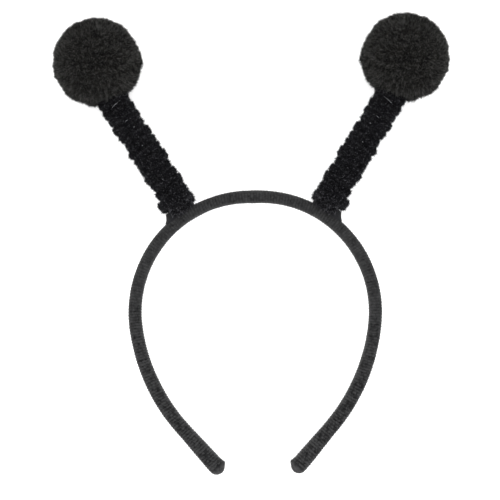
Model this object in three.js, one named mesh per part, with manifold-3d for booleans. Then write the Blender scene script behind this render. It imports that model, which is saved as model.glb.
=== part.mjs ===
import * as THREE from 'three';
import { mergeVertices } from 'three/addons/utils/BufferGeometryUtils.js';
import Module from 'manifold-3d';

const wasm = await Module();
wasm.setup();

// Driving dimensions, in millimetres and degrees.

// The hoop's centreline: a short straight stretch over the head, a round crown, two gentler
// legs and their straight ends.
const crownFlat = 5;
const crownRadius = 59.4;
const crownSweep = 96.5;
const legRadius = 97;
const legLength = 58.2;
const tailLength = 30.6;

// The hoop's padded section.
const bandThickness = 6.4;
const bandDepth = 9;
const squareness = 0.72; // of the section: 1 is an ellipse, and less is fuller

// Where a stalk stands, as the crown's turn away from its top, and how it leans outwards.
const stalkStation = 32.9;
const stalkLean = 31.5;
const stalkReach = 91.6; // from the hoop's centreline to the pompom's centre
const pompomShift = 3.8; // the pompom's centre lies this far inwards of the stalk's axis

// The stalk: a wire post inside a chenille stem wound round it.
const coreRadius = 0.9;
const stalkRadius = 7.9;
const windingPitch = 5;
const windingStart = 240; // degrees round the post, from the inner side by way of the back
const coilSink = 4.7; // how deep the top of the winding sits in the pompom
const coreSink = 10; // how deep the post reaches into the pompom

// The cloth boss under a stalk.
const footWidth = 13.8; // along the hoop
const footShift = 0.9; // its middle lies this far outwards of the stalk's axis
const footDepth = 8.4; // front to back
const footHeight = 3.5; // above the hoop's outer face
const footInnerFlare = 1; // how far its hollow inner side runs out along the hoop
const footOuterFlare = 3; // and its outer side
const footWaist = 3.2; // height at which its sides stand upright
const footRounding = 1.2; // of its front and back edges
const footFloor = 0.5; // cloth left under the first winding
const footHem = 0.4; // cloth at the boss's thin edges

// The pompom: a round head with blunt locks of fibre fused to it side by side.
const pompomRadius = 23;
const lockLength = 2.2; // from the head to the locks' ends
const furrowWidth = 2; // between two locks' ends
const lockRounding = 0.5; // how far an end's rim lies under its middle
const lockUnevenness = 0.7; // the locks' ends lie within this of each other
const lockShift = 1; // from an even spread

// Room between two pieces that touch.
const clearance = 0.3;

// Fineness of the faces.
const crownFacets = 20;
const legFacets = 9;
const tailFacets = 4;
const facetsPerTurn = 13;
const lockFineness = 2; // 2 gives 92 locks

// The hoop's section from the crown's top to its end: shares of the half length, the
// thickness and the depth.
const bandSections = [
  { along: 0.0, thick: 1.0, deep: 1.0 },
  { along: 0.11, thick: 0.95, deep: 0.98 },
  { along: 0.3, thick: 1.0, deep: 1.0 },
  { along: 0.6, thick: 1.02, deep: 1.0 },
  { along: 0.7, thick: 1.08, deep: 1.01 },
  { along: 0.86, thick: 1.09, deep: 1.02 },
  { along: 0.93, thick: 1.22, deep: 1.04 },
  { along: 1.0, thick: 1.3, deep: 1.04 },
];

// A blunt rounded end: how far back from the end, as a share of the thickness, and the size
// of the section there.
const endRounding = [
  { back: 0.6, size: 1.0 },
  { back: 0.42, size: 0.92 },
  { back: 0.26, size: 0.73 },
  { back: 0.1, size: 0.49 },
  { back: 0.0, size: 0.25 },
];

// How far the windings stand out along the stalk, as shares of the winding's height and of
// the stalk's radius, and how far they lie over to its inner side, in millimetres.
const windingSwell = [
  { at: 0.0, swell: 1.2, over: -0.3 },
  { at: 0.085, swell: 1.12, over: -0.35 },
  { at: 0.155, swell: 1.0, over: 1.0 },
  { at: 0.21, swell: 1.06, over: 0.9 },
  { at: 0.29, swell: 1.02, over: 0.1 },
  { at: 0.365, swell: 1.04, over: 0.1 },
  { at: 0.44, swell: 1.07, over: 0.7 },
  { at: 0.535, swell: 1.04, over: 0.0 },
  { at: 0.63, swell: 1.02, over: 0.65 },
  { at: 0.72, swell: 1.03, over: 0.0 },
  { at: 0.8, swell: 1.04, over: -0.3 },
  { at: 0.877, swell: 1.03, over: 0.3 },
  { at: 0.935, swell: 1.02, over: 0.0 },
  { at: 1.0, swell: 1.02, over: 0.0 },
];

// A wound strand's rounded ends: how far from the end, as a share of the strand's height,
// and the size of the section there.
const strandEnd = [
  { inwards: 0.0, size: 0.35 },
  { inwards: 0.12, size: 0.75 },
  { inwards: 0.4, size: 1.0 },
];

const sectionSides = 12;
const strandSides = 7;
const coreSides = 10;

const radians = THREE.MathUtils.degToRad;
const toFront = new THREE.Vector3(0, 0, 1);

// A value between the rows of a table.
function tableValue(rows, key, at, column) {
  const last = rows[rows.length - 1];
  if (at >= last[key]) return last[column];
  const upper = rows.findIndex((row) => row[key] > at);
  if (upper <= 0) return rows[0][column];
  const [a, b] = [rows[upper - 1], rows[upper]];
  return THREE.MathUtils.mapLinear(at, a[key], b[key], a[column], b[column]);
}

// A closed body from corner points and triangles, with its faces pointing out.
function closedBody(points, triangles) {
  let volume = 0;
  for (const [a, b, c] of triangles) {
    volume += points[a].dot(points[b].clone().cross(points[c]));
  }
  const faces = volume > 0 ? triangles : triangles.map(([a, b, c]) => [a, c, b]);
  const geometry = new THREE.BufferGeometry();
  geometry.setAttribute('position', new THREE.Float32BufferAttribute(points.flatMap((p) => p.toArray()), 3));
  geometry.setIndex(faces.flat());
  return geometry;
}

// A body through rings of points, closed by a flat face at each end.
function loft(rings) {
  const sides = rings[0].length;
  const triangles = [];
  for (let ring = 0; ring < rings.length - 1; ring++) {
    for (let side = 0; side < sides; side++) {
      const next = (side + 1) % sides;
      const [a, b] = [ring * sides + side, ring * sides + next];
      const [c, d] = [a + sides, b + sides];
      triangles.push([a, b, d], [a, d, c]);
    }
  }
  const lastRing = (rings.length - 1) * sides;
  for (let side = 1; side < sides - 1; side++) {
    triangles.push([0, side + 1, side]);
    triangles.push([lastRing, lastRing + side, lastRing + side + 1]);
  }
  return closedBody(rings.flat(), triangles);
}

// The same body on the other side of the plane x = 0.
function mirrored(geometry) {
  const copy = geometry.clone().scale(-1, 1, 1);
  const index = copy.getIndex().array;
  for (let i = 0; i < index.length; i += 3) {
    [index[i], index[i + 1]] = [index[i + 1], index[i]];
  }
  return copy;
}

function toManifold(geometry) {
  const bare = geometry.clone();
  bare.deleteAttribute('normal');
  bare.deleteAttribute('uv');
  const merged = mergeVertices(bare, 1e-5);
  return new wasm.Manifold(new wasm.Mesh({
    numProp: 3,
    vertProperties: new Float32Array(merged.getAttribute('position').array),
    triVerts: new Uint32Array(merged.getIndex().array),
  }));
}

function toGeometry(manifold) {
  const mesh = manifold.getMesh();
  const geometry = new THREE.BufferGeometry();
  geometry.setAttribute('position', new THREE.BufferAttribute(new Float32Array(mesh.vertProperties), 3));
  geometry.setIndex(new THREE.BufferAttribute(new Uint32Array(mesh.triVerts), 1));
  return geometry;
}

// The hoop, in its own plane: x across, y towards the pompoms, z to the front. The origin
// is the middle of the crown's arc.
const crownLength = crownRadius * radians(crownSweep);
const halfLength = crownFlat / 2 + crownLength + legLength + tailLength;

// Place and outward direction of the centreline, at a distance from its top.
function hoopPoint(distance) {
  const side = distance < 0 ? -1 : 1;
  const run = Math.abs(distance) - crownFlat / 2;
  const turnCrown = THREE.MathUtils.clamp(run, 0, crownLength) / crownRadius;
  const turnLeg = THREE.MathUtils.clamp(run - crownLength, 0, legLength) / legRadius;
  const turn = turnCrown + turnLeg;
  const tail = Math.max(run - crownLength - legLength, 0);
  const place = new THREE.Vector3(Math.min(run, 0) + crownFlat / 2, 0, 0);
  place.x += crownRadius * Math.sin(turnCrown) + legRadius * (Math.sin(turn) - Math.sin(turnCrown));
  place.y += crownRadius * Math.cos(turnCrown) + legRadius * (Math.cos(turn) - Math.cos(turnCrown));
  place.x += tail * Math.cos(turn);
  place.y -= tail * Math.sin(turn);
  place.x *= side;
  return {
    place,
    outward: new THREE.Vector3(side * Math.sin(turn), Math.cos(turn), 0),
  };
}

// One section of the hoop: a rounded outline with a flat face towards the head.
function bandRing(distance, size, grow) {
  const share = Math.abs(distance) / halfLength;
  const { place, outward } = hoopPoint(distance);
  const halfThickness = (bandThickness / 2) * tableValue(bandSections, 'along', share, 'thick') * size + grow;
  const halfDepth = (bandDepth / 2) * tableValue(bandSections, 'along', share, 'deep') * size + grow;
  const flat = Math.cos(Math.PI / sectionSides) ** squareness;
  const ring = [];
  for (let side = 0; side < sectionSides; side++) {
    const angle = ((side + 0.5) / sectionSides) * 2 * Math.PI;
    const [cos, sin] = [Math.cos(angle), Math.sin(angle)];
    const out = ((Math.sign(cos) * Math.abs(cos) ** squareness) / flat) * halfThickness;
    const front = ((Math.sign(sin) * Math.abs(sin) ** squareness) / flat) * halfDepth;
    ring.push(place.clone()
      .addScaledVector(outward, out)
      .addScaledVector(toFront, front));
  }
  return ring;
}

function bandBody(grow) {
  const half = [];
  for (let i = 0; i <= crownFacets; i++) {
    half.push({ distance: crownFlat / 2 + (crownLength * i) / crownFacets, size: 1 });
  }
  for (let i = 1; i <= legFacets; i++) {
    half.push({ distance: crownFlat / 2 + crownLength + (legLength * i) / legFacets, size: 1 });
  }
  const tailRun = tailLength - endRounding[0].back * bandThickness;
  for (let i = 1; i < tailFacets; i++) {
    half.push({ distance: halfLength - tailLength + (tailRun * i) / tailFacets, size: 1 });
  }
  for (const { back, size } of endRounding) {
    half.push({ distance: halfLength - back * bandThickness, size });
  }
  const other = half.map(({ distance, size }) => ({ distance: -distance, size })).reverse();
  return loft([...other, ...half].map(({ distance, size }) => bandRing(distance, size, grow)));
}

// An antenna, in a frame of its own: x outwards along the hoop, y up the stalk, z to the
// front. The origin is on the hoop's centreline, on the stalk's axis.
const footDistance = crownFlat / 2 + crownRadius * radians(stalkStation);
const footPoint = hoopPoint(footDistance).place;
const bandFace = (bandThickness / 2) * tableValue(bandSections, 'along', footDistance / halfLength, 'thick');
const toHoop = new THREE.Matrix4()
  .makeRotationZ(-radians(stalkLean))
  .setPosition(footPoint);
const toAntenna = toHoop.clone().invert();

const footTop = bandFace + clearance + footHeight;
const pompomUnderside = stalkReach - pompomRadius;
const coilBottom = bandFace + clearance + footFloor + clearance;
const coilTop = pompomUnderside + coilSink;
const turns = (coilTop - coilBottom - (windingPitch - clearance)) / windingPitch;
const beddedTurns = (footTop + clearance - coilBottom) / windingPitch + 0.3; // sunk in the boss

// The wound strand, flattened between its neighbours. Grown, it is the room that it needs.
function strandBody(shownTurns, grow) {
  const halfHeight = (windingPitch - clearance) / 2;
  const sectionAt = (turn, size) => {
    const angle = radians(windingStart) + turn * 2 * Math.PI;
    const swell = tableValue(windingSwell, 'at', turn / turns, 'swell');
    const over = tableValue(windingSwell, 'at', turn / turns, 'over') * Math.cos(angle);
    const halfReach = (stalkRadius * swell + over - coreRadius - clearance) / 2;
    const middle = coreRadius + clearance + halfReach;
    const height = coilBottom + halfHeight + turn * windingPitch;
    const outward = new THREE.Vector3(-Math.cos(angle), 0, -Math.sin(angle));
    const ring = [];
    for (let side = 0; side < strandSides; side++) {
      const around = (side / strandSides) * 2 * Math.PI;
      const reach = middle + Math.cos(around) * (halfReach * size + grow);
      const rise = Math.sin(around) * (halfHeight * size + grow);
      ring.push(outward.clone().multiplyScalar(reach).setY(height + rise));
    }
    return ring;
  };
  const endTurn = (row) => (row.inwards * halfHeight) / (Math.PI * stalkRadius);
  const rings = strandEnd.map((row) => sectionAt(endTurn(row), row.size));
  const steps = Math.round(shownTurns * facetsPerTurn);
  for (let i = 1; i < steps; i++) {
    rings.push(sectionAt((shownTurns * i) / steps, 1));
  }
  for (const row of [...strandEnd].reverse()) {
    rings.push(sectionAt(shownTurns - endTurn(row), row.size));
  }
  return loft(rings);
}

// A plain round post along the stalk's axis.
function post(radius, bottom, top) {
  return new THREE.CylinderGeometry(radius, radius, top - bottom, coreSides)
    .translate(0, (top + bottom) / 2, 0);
}

// The cloth boss: hollow sides that run out along the hoop, seated on the hoop's face, with
// a bed pressed into it by the first winding.
function footBody() {
  const half = footWidth / 2;
  const faceRadius = crownRadius + bandFace;
  const sag = faceRadius - Math.sqrt(faceRadius ** 2 - (footShift + half + footOuterFlare) ** 2);
  const edge = bandFace - sag + clearance + footHem;
  const outline = new THREE.Shape();
  outline.moveTo(-half - footInnerFlare, -sag);
  outline.lineTo(-half - footInnerFlare, edge);
  outline.quadraticCurveTo(-half, edge + footHem, -half, bandFace + footWaist);
  outline.lineTo(-half, footTop);
  outline.lineTo(half, footTop);
  outline.lineTo(half, bandFace + footWaist);
  outline.quadraticCurveTo(half, edge + footHem, half + footOuterFlare, edge);
  outline.lineTo(half + footOuterFlare, -sag);
  const block = new THREE.ExtrudeGeometry(outline, {
    depth: footDepth - 2 * footRounding,
    curveSegments: 4,
    bevelThickness: footRounding,
    bevelSize: footRounding,
    bevelOffset: -footRounding,
    bevelSegments: 2,
  }).translate(footShift, 0, footRounding - footDepth / 2);
  return toGeometry(
    toManifold(block)
      .subtract(toManifold(bandBody(clearance).applyMatrix4(toAntenna)))
      .subtract(toManifold(strandBody(beddedTurns, clearance)))
      .subtract(toManifold(post(coreRadius + clearance, 0, stalkReach))),
  );
}

// A number from -1 to 1 that looks random but is the same each time.
function uneven(seed) {
  const value = Math.sin(seed * 12.9898) * 43758.5453;
  return 2 * (value - Math.floor(value)) - 1;
}

// The pompom: blunt locks of fibre stand side by side all over a round head, one for each
// corner of a fine geodesic ball, with a furrow between neighbours.
function lockedHead() {
  const ball = new THREE.IcosahedronGeometry(1, lockFineness);
  ball.deleteAttribute('normal');
  ball.deleteAttribute('uv');
  const merged = mergeVertices(ball);
  const place = merged.getAttribute('position');
  const centres = [];
  for (let i = 0; i < place.count; i++) {
    const shift = new THREE.Vector3(uneven(3 * i), uneven(3 * i + 1), uneven(3 * i + 2));
    const centre = new THREE.Vector3().fromBufferAttribute(place, i);
    centres.push(centre.addScaledVector(shift, lockShift / pompomRadius).normalize());
  }
  const faces = merged.getIndex().array;
  const points = [];
  const cornersOf = centres.map(() => []);
  for (let i = 0; i < faces.length; i += 3) {
    const corner = new THREE.Vector3();
    for (const lock of faces.slice(i, i + 3)) {
      corner.add(centres[lock]);
      cornersOf[lock].push(points.length);
    }
    points.push(corner.setLength(pompomRadius - lockLength));
  }
  const triangles = [];
  centres.forEach((centre, lock) => {
    const across = new THREE.Vector3(0.3, 0.5, 0.8).cross(centre).normalize(); // any way across
    const along = centre.clone().cross(across);
    const turn = (corner) => Math.atan2(points[corner].dot(along), points[corner].dot(across));
    const corners = cornersOf[lock].sort((a, b) => turn(a) - turn(b));
    const end = pompomRadius - lockUnevenness * (0.5 + 0.5 * uneven(lock + 0.5));
    const tip = points.push(centre.clone().setLength(end)) - 1;
    for (const corner of corners) {
      const outwards = points[corner].clone().normalize();
      const halfWidth = centre.distanceTo(outwards) * pompomRadius;
      const rim = centre.clone().lerp(outwards, 1 - furrowWidth / 2 / halfWidth);
      points.push(rim.setLength(end - lockRounding));
    }
    corners.forEach((corner, i) => {
      const next = (i + 1) % corners.length;
      const [rim, nextRim] = [tip + 1 + i, tip + 1 + next];
      triangles.push([tip, rim, nextRim]);
      triangles.push([rim, corner, corners[next]], [rim, corners[next], nextRim]);
    });
  });
  return closedBody(points, triangles);
}

// The pompom has a seat for the top of the stalk and a bore for the post.
function pompomBody() {
  const seatRadius = stalkRadius * tableValue(windingSwell, 'at', 1, 'swell') + clearance;
  const seat = post(seatRadius, 0, coilTop + clearance);
  const bore = post(coreRadius + clearance, 0, pompomUnderside + coreSink + clearance);
  return toGeometry(
    toManifold(lockedHead())
      .subtract(toManifold(seat.translate(pompomShift, -stalkReach, 0)))
      .subtract(toManifold(bore.translate(pompomShift, -stalkReach, 0))),
  );
}

// Finishes.
const finish = (color, roughness, metalness) => new THREE.MeshStandardMaterial({ color, roughness, metalness });
const ribbedCloth = finish(0x3c3c3d, 0.85, 0);
const footCloth = finish(0x36363a, 0.9, 0);
const wire = finish(0x9a9ca0, 0.35, 1);
const chenille = finish(0x161618, 0.95, 0);
const fibre = finish(0x1f1f1e, 1, 0);

const antennaPieces = [
  { name: 'foot', body: footBody(), material: footCloth, x: 0, y: 0 },
  {
    name: 'stalk_core',
    body: toGeometry(toManifold(post(coreRadius, bandFace + clearance, pompomUnderside + coreSink))),
    material: wire,
    x: 0,
    y: 0,
  },
  { name: 'chenille', body: strandBody(turns, 0), material: chenille, x: 0, y: 0 },
  { name: 'pompom', body: pompomBody(), material: fibre, x: -pompomShift, y: stalkReach },
];

function antenna(side, sideName) {
  const group = new THREE.Group();
  for (const { name, body, material, x, y } of antennaPieces) {
    const mesh = new THREE.Mesh(side > 0 ? body : mirrored(body), material);
    mesh.name = `${name}_${sideName}`;
    mesh.position.set(side * x, y, 0);
    group.add(mesh);
  }
  group.position.set(side * footPoint.x, footPoint.y, 0);
  group.rotation.z = -side * radians(stalkLean);
  return group;
}

const band = new THREE.Mesh(bandBody(0), ribbedCloth);
band.name = 'band';

const hoop = new THREE.Group();
hoop.add(band, antenna(1, 'right'), antenna(-1, 'left'));

// The headband lies on its back, on the locks of its two pompoms and on its two ends.
const pompomPlace = new THREE.Vector3(-pompomShift, stalkReach, 0).applyMatrix4(toHoop);
const endPlace = hoopPoint(halfLength).place;
const endDepth = bandDepth * tableValue(bandSections, 'along', 1, 'deep');
const dropToEnds = pompomRadius - lockUnevenness / 2 - endDepth / 2;
hoop.rotation.x = Math.asin(dropToEnds / (pompomPlace.y - endPlace.y));

// The origin is the middle of the footprint, on the surface that it lies on.
const headband = new THREE.Group();
headband.add(hoop);
headband.updateMatrixWorld(true);
const extent = new THREE.Box3().setFromObject(headband, true);
hoop.position.set(
  -(extent.min.x + extent.max.x) / 2,
  -(extent.min.y + extent.max.y) / 2,
  -extent.min.z,
);

export default headband;
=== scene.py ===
import math
import bpy
import numpy as np
from mathutils import Matrix, Vector


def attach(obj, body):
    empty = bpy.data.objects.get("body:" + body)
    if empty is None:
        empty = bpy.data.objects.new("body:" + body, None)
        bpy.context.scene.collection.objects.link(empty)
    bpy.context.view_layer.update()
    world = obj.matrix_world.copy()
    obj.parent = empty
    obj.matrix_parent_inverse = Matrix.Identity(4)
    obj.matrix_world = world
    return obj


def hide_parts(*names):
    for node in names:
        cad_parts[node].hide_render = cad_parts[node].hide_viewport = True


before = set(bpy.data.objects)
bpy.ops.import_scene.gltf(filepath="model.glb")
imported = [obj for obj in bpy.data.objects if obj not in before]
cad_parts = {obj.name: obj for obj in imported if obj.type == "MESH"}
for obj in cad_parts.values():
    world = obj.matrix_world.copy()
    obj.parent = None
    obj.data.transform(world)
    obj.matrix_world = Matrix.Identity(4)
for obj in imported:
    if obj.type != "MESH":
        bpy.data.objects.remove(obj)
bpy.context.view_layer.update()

# Lengths in the dictionaries are in millimetres and angles in degrees.
mm = 0.001
sides = ("left", "right")
across = np.array([1.0, 0.0, 0.0])
floorClearance = 0.05


# Small helpers

def tableValue(rows, key, at, column):
    return np.interp(at, [row[key] for row in rows], [row[column] for row in rows])


def add(tree, kind, inputs=None, **settings):
    node = tree.nodes.new(kind)
    for name, value in settings.items():
        setattr(node, name, value)
    for socket, value in (inputs or {}).items():
        if isinstance(value, bpy.types.NodeSocket):
            tree.links.new(value, node.inputs[socket])
        else:
            node.inputs[socket].default_value = value
    return node


def calculated(tree, operation, *values):
    return add(tree, "ShaderNodeMath", dict(enumerate(values)), operation=operation).outputs[0]


def times(tree, first, second):
    return calculated(tree, "MULTIPLY", first, second)


def plus(tree, first, second):
    return calculated(tree, "ADD", first, second)


def minus(tree, first, second):
    return calculated(tree, "SUBTRACT", first, second)


def timesPlus(tree, value, factor, more):
    return calculated(tree, "MULTIPLY_ADD", value, factor, more)


def remapped(tree, value, source, target):
    ends = dict(enumerate((value, *source, *target)))
    return add(tree, "ShaderNodeMapRange", ends).outputs[0]


def vectorOf(tree, operation, *values):
    return add(tree, "ShaderNodeVectorMath", dict(enumerate(values)), operation=operation).outputs[0]


def scaled(tree, vector, factor):
    return add(tree, "ShaderNodeVectorMath", {0: vector, "Scale": factor}, operation="SCALE").outputs[0]


def newObject(name, mesh):
    piece = bpy.data.objects.new(name, mesh)
    bpy.context.scene.collection.objects.link(piece)
    return piece


# A closed mesh through rings of points, with a UV place for every corner
def loftedMesh(name, rings, alongAt, aroundAt):
    count, around = rings.shape[:2]
    ring, side = np.meshgrid(np.arange(count - 1), np.arange(around), indexing="ij")
    after = (side + 1) % around
    quads = np.stack([ring * around + side, ring * around + after,
                      (ring + 1) * around + after, (ring + 1) * around + side], axis=-1).reshape(-1, 4)
    lastRing = (count - 1) * around
    faces = [*quads.tolist(), list(range(around))[::-1], list(range(lastRing, lastRing + around))]
    mesh = bpy.data.meshes.new(name)
    mesh.from_pydata(rings.reshape(-1, 3).tolist(), [], faces)
    uvAlong = np.stack([alongAt[ring], alongAt[ring], alongAt[ring + 1], alongAt[ring + 1]], axis=-1)
    uvAround = np.stack([aroundAt[side], aroundAt[side + 1], aroundAt[side + 1], aroundAt[side]], axis=-1)
    body = np.stack([uvAlong, uvAround], axis=-1).reshape(-1, 2)
    ends = [np.stack([np.full(around, alongAt[end]), aroundAt[:around]], axis=-1) for end in (0, -1)]
    uvMap = mesh.uv_layers.new(name="cloth")
    uvMap.uv.foreach_set("vector", np.concatenate([body, ends[0][::-1], ends[1]]).ravel().astype(np.float32))
    smooth(mesh)
    turnOutwards(mesh)
    return mesh


def smooth(mesh):
    mesh.polygons.foreach_set("use_smooth", [True] * len(mesh.polygons))


# Turns a closed mesh so that its faces point out
def turnOutwards(mesh):
    mesh.calc_loop_triangles()
    places = vertexPlaces(mesh)
    corners = np.array([triangle.vertices for triangle in mesh.loop_triangles])
    a, b, c = (places[corners[:, i]] for i in range(3))
    if np.einsum("ij,ij->i", a, np.cross(b, c)).sum() < 0:
        mesh.flip_normals()


def vertexPlaces(mesh):
    places = np.empty(len(mesh.vertices) * 3, np.float32)
    mesh.vertices.foreach_get("co", places)
    return places.reshape(-1, 3).astype(float)


def setPlaces(mesh, places):
    mesh.vertices.foreach_set("co", places.astype(np.float32).ravel())
    mesh.update()


def setAttribute(mesh, name, values):
    attribute = mesh.attributes.new(name, "FLOAT", "POINT")
    attribute.data.foreach_set("value", np.asarray(values, np.float32).ravel())


# Geometry Nodes: a tree with named inputs, and its result as a plain mesh
def newTree(name, inputs):
    tree = bpy.data.node_groups.new(name, "GeometryNodeTree")
    tree.interface.new_socket("Geometry", in_out="INPUT", socket_type="NodeSocketGeometry")
    tree.interface.new_socket("Geometry", in_out="OUTPUT", socket_type="NodeSocketGeometry")
    for label, kind in inputs.items():
        tree.interface.new_socket(label, in_out="INPUT", socket_type=f"NodeSocket{kind}")
    return tree, add(tree, "NodeGroupInput").outputs


def endTree(tree, geometry, material):
    real = add(tree, "GeometryNodeRealizeInstances", {0: geometry}).outputs[0]
    painted = add(tree, "GeometryNodeSetMaterial", {"Geometry": real, "Material": material}).outputs[0]
    add(tree, "NodeGroupOutput", {0: painted})


def storedValue(tree, name):
    return add(tree, "GeometryNodeInputNamedAttribute", {"Name": name}).outputs[0]


def withAttribute(tree, geometry, name, value, domain="POINT"):
    return add(tree, "GeometryNodeStoreNamedAttribute", {0: geometry, "Name": name, "Value": value},
               domain=domain).outputs[0]


def randomValue(tree, low, high, seed, **more):
    return add(tree, "FunctionNodeRandomValue", {2: low, 3: high, "Seed": seed, **more},
               data_type="FLOAT").outputs[1]


# A lift by noise, up or down by at most half the named height
def noiseLift(tree, given, stem, inputs):
    where = add(tree, "GeometryNodeInputPosition").outputs[0]
    scale = calculated(tree, "DIVIDE", 1.0, given[f"{stem} size"])
    uneven = add(tree, "ShaderNodeTexNoise", {"Vector": where, "W": given["Seed"], "Scale": scale, **inputs},
                 noise_dimensions="4D").outputs[0]
    return times(tree, minus(tree, uneven, 0.5), given[f"{stem} height"])


def lifted(tree, geometry, lift):
    offset = scaled(tree, add(tree, "GeometryNodeInputNormal").outputs[0], lift)
    return add(tree, "GeometryNodeSetPosition", {"Geometry": geometry, "Offset": offset}).outputs[0]


# Gives a piece the mesh that its modifiers make
def applyModifiers(piece, **options):
    graph = bpy.context.evaluated_depsgraph_get()
    mesh = bpy.data.meshes.new_from_object(piece.evaluated_get(graph), depsgraph=graph, **options)
    piece.modifiers.clear()
    piece.data = mesh


# Every tree takes its material as Finish
def grow(piece, tree, values):
    modifier = piece.modifiers.new(tree.name, "NODES")
    modifier.node_group = tree
    for item in tree.interface.items_tree:
        if item.in_out == "INPUT" and item.name in values:
            modifier[item.identifier] = values[item.name]
    applyModifiers(piece, preserve_all_data_layers=True)
    piece.data.materials.clear()
    piece.data.materials.append(values["Finish"])
    return piece


# The same piece on the other side of the plane x = 0
def mirroredCopy(piece, name):
    mesh = piece.data.copy()
    mesh.name = name
    mesh.transform(Matrix.Scale(-1, 4, across))
    mesh.flip_normals()
    return newObject(name, mesh)


# A piece that lies on the floor is pressed flat where it meets it
def restOnFloor(piece):
    places = vertexPlaces(piece.data)
    places[:, 2] = np.maximum(places[:, 2], floorClearance * mm)
    setPlaces(piece.data, places)


def triangleCount(piece):
    return sum(len(face.vertices) - 2 for face in piece.data.polygons)


def finishPiece(piece, slot, *nodes):
    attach(piece, "root")
    if nodes:
        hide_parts(*nodes)
    print(piece.name, triangleCount(piece), "triangles")


# An antenna's piece is made for the left side, and its mirrored copy stands on the right
def finishBoth(piece, stem, slot, node=None):
    for sideName, part in (("left", piece), ("right", mirroredCopy(piece, f"{stem}_right"))):
        finishPiece(part, slot, *([f"{node}_{sideName}"] if node else []))


# Materials: every pattern follows the piece's own UV map, its attributes or Object coordinates

def newMaterial(name, values):
    material = bpy.data.materials.new(name)
    material.use_nodes = True
    tree = material.node_tree
    shader = tree.nodes["Principled BSDF"]
    for socket, value in values.items():
        shader.inputs[socket].default_value = value
    return material, tree, shader


def mixed(tree, factor, first, second):
    return add(tree, "ShaderNodeMix", {"Factor": factor, 6: first, 7: second}, data_type="RGBA").outputs[2]


def attributeValue(tree, name):
    return add(tree, "ShaderNodeAttribute", attribute_name=name).outputs["Fac"]


# Noise on Object coordinates
def noise(tree, scale, detail):
    place = add(tree, "ShaderNodeTexCoord").outputs["Object"]
    return add(tree, "ShaderNodeTexNoise", {"Vector": place, "Scale": scale, "Detail": detail}).outputs[0]


# A noise's value times an amount, with its middle at zero
def centred(tree, value, amount):
    return timesPlus(tree, value, amount, -amount / 2)


# Both places on the UV map of a cloth
def clothPlace(tree):
    place = add(tree, "ShaderNodeUVMap", uv_map="cloth").outputs[0]
    parts = add(tree, "ShaderNodeSeparateXYZ", {0: place}).outputs
    return parts[0], parts[1]


# Height of the lines of a woven or twisted yarn, from 0 to 1
def threads(tree, place, pitch, along=0.0, twist=0.0):
    phase = plus(tree, calculated(tree, "DIVIDE", place, pitch), times(tree, along, twist))
    wave = calculated(tree, "SINE", times(tree, phase, 2 * math.pi))
    return timesPlus(tree, wave, 0.5, 0.5)


def paint(tree, shader, colour, roughness):
    tree.links.new(colour, shader.inputs["Base Color"])
    tree.links.new(roughness, shader.inputs["Roughness"])


def raiseSurface(tree, shader, height, strength, distance):
    bump = add(tree, "ShaderNodeBump", {"Height": height, "Strength": strength, "Distance": distance * mm})
    tree.links.new(bump.outputs[0], shader.inputs["Normal"])


# What both cloths have in common
clothShine = {"Specular IOR Level": 0.07, "Sheen Weight": 0.08, "Sheen Roughness": 0.5}
ribbedLook = {
    # The groove colour is painted shade between the ribs; the cloth runs from it to the ridge colour with the
    # rib's height
    "groove": (0.003, 0.003, 0.0033, 1),
    "ridge": (0.0305, 0.0305, 0.0312, 1),
    "endCloth": (0.037, 0.037, 0.038, 1),
    "endShade": (0.015, 0.015, 0.016, 1),
    "middleTone": 0.58,
    "stitch": 0.9,
    "stitchTwist": 0.5,
    "fuzzScale": 2600,
    "patchScale": 170,
    "speckScale": 620,
    # The pits are painted shade: small dark dots along the grooves, of this size and darkness
    "pitScale": 760,
    "pitShadeDepth": 0.75,
    "mottle": (-0.38, 0.37),
    # How strongly the painted rib shade shows, from place to place
    "ribShadeStrength": (0.3, 1.3),
    "unevenness": 0.7,
    # The painted rib shade is weaker over the crown than along the legs
    "calmRibs": (50, 105),
    "contrast": (0.45, 1.05),
    "roughness": (0.75, 0.95),
    "ribRelief": 0.8,
    "fuzzRelief": 0.5,
    "bump": 0.25,
    "bumpStrength": 0.6,
}


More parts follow.
